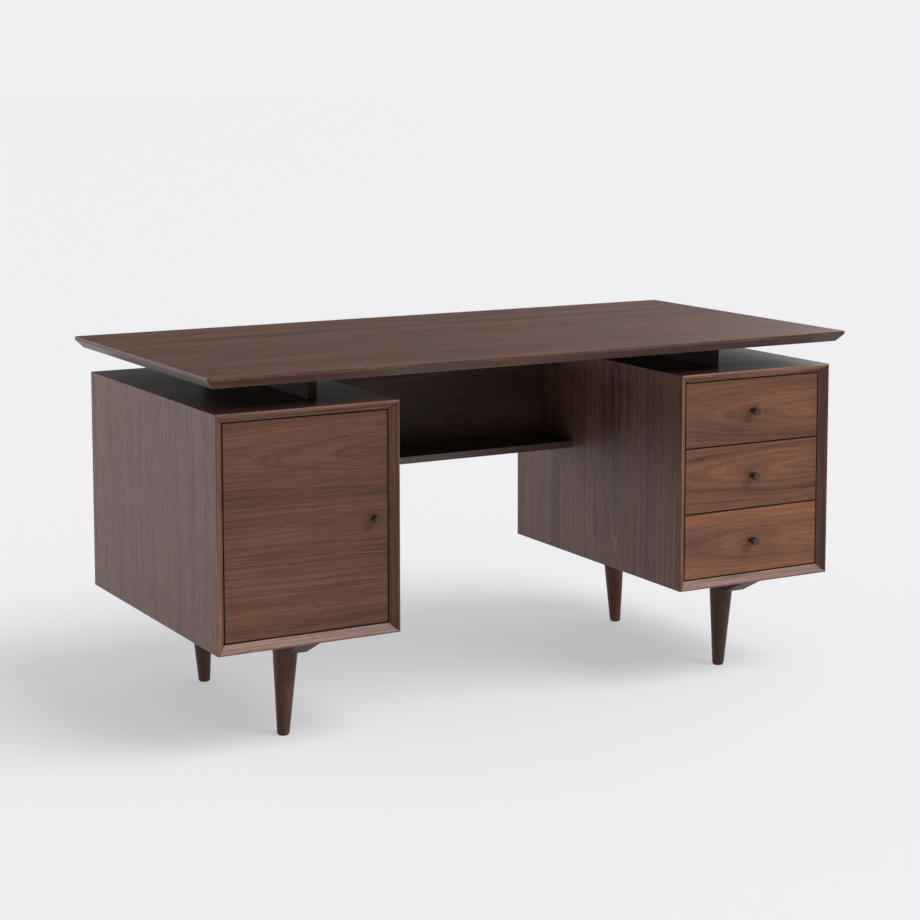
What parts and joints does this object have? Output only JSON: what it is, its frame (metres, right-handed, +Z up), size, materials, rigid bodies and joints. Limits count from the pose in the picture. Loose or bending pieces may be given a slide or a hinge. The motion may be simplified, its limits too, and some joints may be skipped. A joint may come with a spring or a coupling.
{
  "type": "writing desk",
  "caption": "Walnut writing desk with a thin floating top on two box pedestals, a hinged cupboard door on one side, drawers on the other, and tapered legs.",
  "frame": {"origin": "on the floor under the middle of the table top: the middle of the bounding box's underside", "axes": "+X along the desk's length, from the cupboard towards the drawers; +Y from the sitter's side towards the modesty panel, so the door and drawer fronts face -Y; +Z up"},
  "size_m": [1.5, 0.74, 0.75],
  "materials": {
    "walnut_top": "matt lacquered walnut veneer, grain along the desk's length",
    "walnut_case": "matt lacquered walnut veneer, grain running round the case",
    "walnut_front": "matt lacquered walnut veneer with figured grain across the front",
    "walnut_solid": "satin lacquered solid walnut",
    "drawer_box": "clear lacquered pale hardwood",
    "slide_steel": "zinc plated",
    "hinge_steel": "nickel plated"
  },
  "bodies": {
    "desk_frame": {"desk_top": "walnut_top", "spacer_rail_left": "walnut_solid", "spacer_rail_right": "walnut_solid", "left_case_top": "walnut_case", "left_case_bottom": "walnut_case", "left_case_outer_side": "walnut_case", "left_case_inner_side": "walnut_case", "left_case_back": "walnut_case", "right_case_top": "walnut_case", "right_case_bottom": "walnut_case", "right_case_outer_side": "walnut_case", "right_case_inner_side": "walnut_case", "right_case_back": "walnut_case", "ledge_board": "walnut_case", "modesty_panel": "walnut_case", "batten_left": "walnut_solid", "batten_right": "walnut_solid", "front_leg_left": "walnut_solid", "front_leg_right": "walnut_solid", "rear_leg_left": "walnut_solid", "rear_leg_right": "walnut_solid", "cupboard_shelf": "walnut_case", "shelf_cleat_left": "walnut_solid", "shelf_cleat_right": "walnut_solid", "hinge_arm_lower": "hinge_steel", "hinge_arm_upper": "hinge_steel", "case_slide_bottom_left": "slide_steel", "case_slide_bottom_right": "slide_steel", "case_slide_middle_left": "slide_steel", "case_slide_middle_right": "slide_steel", "case_slide_top_left": "slide_steel", "case_slide_top_right": "slide_steel"},
    "cupboard_door": {"door": "walnut_front", "door_knob": "walnut_solid", "hinge_cup_lower": "hinge_steel", "hinge_cup_upper": "hinge_steel"},
    "bottom_drawer": {"drawer_front_bottom": "walnut_front", "drawer_knob_bottom": "walnut_solid", "drawer_side_bottom_left": "drawer_box", "drawer_side_bottom_right": "drawer_box", "drawer_back_bottom": "drawer_box", "drawer_bottom_bottom": "drawer_box", "drawer_slide_bottom_left": "slide_steel", "drawer_slide_bottom_right": "slide_steel"},
    "middle_drawer": {"drawer_front_middle": "walnut_front", "drawer_knob_middle": "walnut_solid", "drawer_side_middle_left": "drawer_box", "drawer_side_middle_right": "drawer_box", "drawer_back_middle": "drawer_box", "drawer_bottom_middle": "drawer_box", "drawer_slide_middle_left": "slide_steel", "drawer_slide_middle_right": "slide_steel"},
    "top_drawer": {"drawer_front_top": "walnut_front", "drawer_knob_top": "walnut_solid", "drawer_side_top_left": "drawer_box", "drawer_side_top_right": "drawer_box", "drawer_back_top": "drawer_box", "drawer_bottom_top": "drawer_box", "drawer_slide_top_left": "slide_steel", "drawer_slide_top_right": "slide_steel"}
  },
  "joints": [
    {"name": "door_hinge", "type": "hinge", "parent": "desk_frame", "child": "cupboard_door", "pos_m": [-0.706, -0.331, 0.4435], "axis": [0, 0, -1], "range_deg": [0, 105]},
    {"name": "bottom_drawer_slide", "type": "slide", "parent": "desk_frame", "child": "bottom_drawer", "axis": [0, -1, 0], "range_m": [0, 0.36]},
    {"name": "middle_drawer_slide", "type": "slide", "parent": "desk_frame", "child": "middle_drawer", "axis": [0, -1, 0], "range_m": [0, 0.36]},
    {"name": "top_drawer_slide", "type": "slide", "parent": "desk_frame", "child": "top_drawer", "axis": [0, -1, 0], "range_m": [0, 0.36]}
  ]
}
